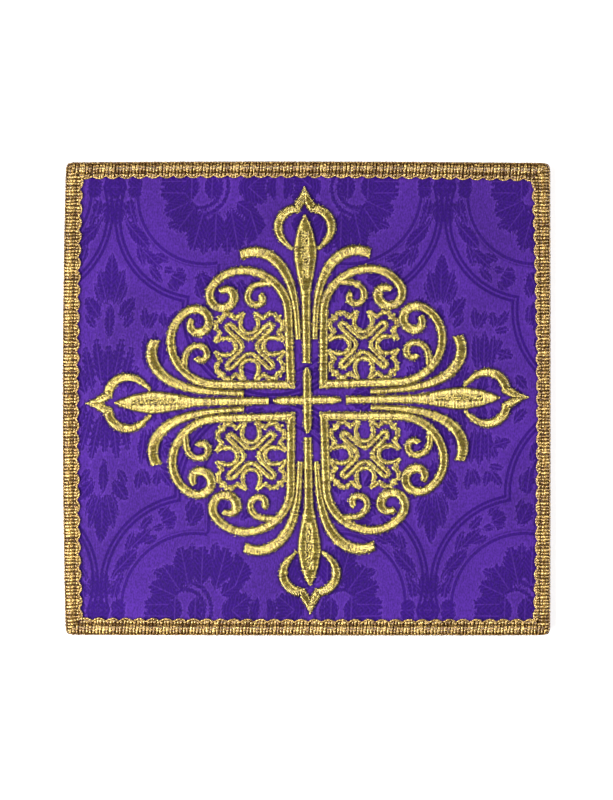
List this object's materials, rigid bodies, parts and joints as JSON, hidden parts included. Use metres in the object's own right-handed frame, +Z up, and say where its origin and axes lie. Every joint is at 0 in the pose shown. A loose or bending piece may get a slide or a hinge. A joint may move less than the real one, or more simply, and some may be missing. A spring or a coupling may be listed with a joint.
{
  "type": "chalice veil",
  "caption": "Small stiffened square chalice veil in purple damask, edged with gold gimp braid and worked with a raised gold cross of spears, lily tips, scrolls and knotted tracery.",
  "frame": {"origin": "middle of the flat underside, on the surface that the veil lies on", "axes": "+Z up out of the embroidered face, +X across its width to the right, +Y up the face towards its top edge"},
  "size_m": [0.1606, 0.156, 0.0038],
  "materials": {
    "damask": "tone on tone violet silk damask, satin ground with a darker figure",
    "gold_braid": "gimp braid woven from gold metallised thread, ribbed, with a looped inner edge",
    "gold_thread": "raised satin stitch in pale gold metallised thread"
  },
  "bodies": {
    "root": {"braid": "gold_braid", "centre_cross": "gold_thread", "frame_1": "gold_thread", "frame_2": "gold_thread", "frame_3": "gold_thread", "frame_4": "gold_thread", "horn_1a": "gold_thread", "horn_1b": "gold_thread", "horn_2a": "gold_thread", "horn_2b": "gold_thread", "horn_3a": "gold_thread", "horn_3b": "gold_thread", "horn_4a": "gold_thread", "horn_4b": "gold_thread", "lily_1": "gold_thread", "lily_2": "gold_thread", "lily_3": "gold_thread", "lily_4": "gold_thread", "panel": "damask", "scroll_1a": "gold_thread", "scroll_1b": "gold_thread", "scroll_2a": "gold_thread", "scroll_2b": "gold_thread", "scroll_3a": "gold_thread", "scroll_3b": "gold_thread", "scroll_4a": "gold_thread", "scroll_4b": "gold_thread", "spear_1": "gold_thread", "spear_2": "gold_thread", "spear_3": "gold_thread", "spear_4": "gold_thread", "tracery_inner_1": "gold_thread", "tracery_inner_2": "gold_thread", "tracery_inner_3": "gold_thread", "tracery_inner_4": "gold_thread", "tracery_outer_1": "gold_thread", "tracery_outer_2": "gold_thread", "tracery_outer_3": "gold_thread", "tracery_outer_4": "gold_thread"}
  },
  "joints": []
}
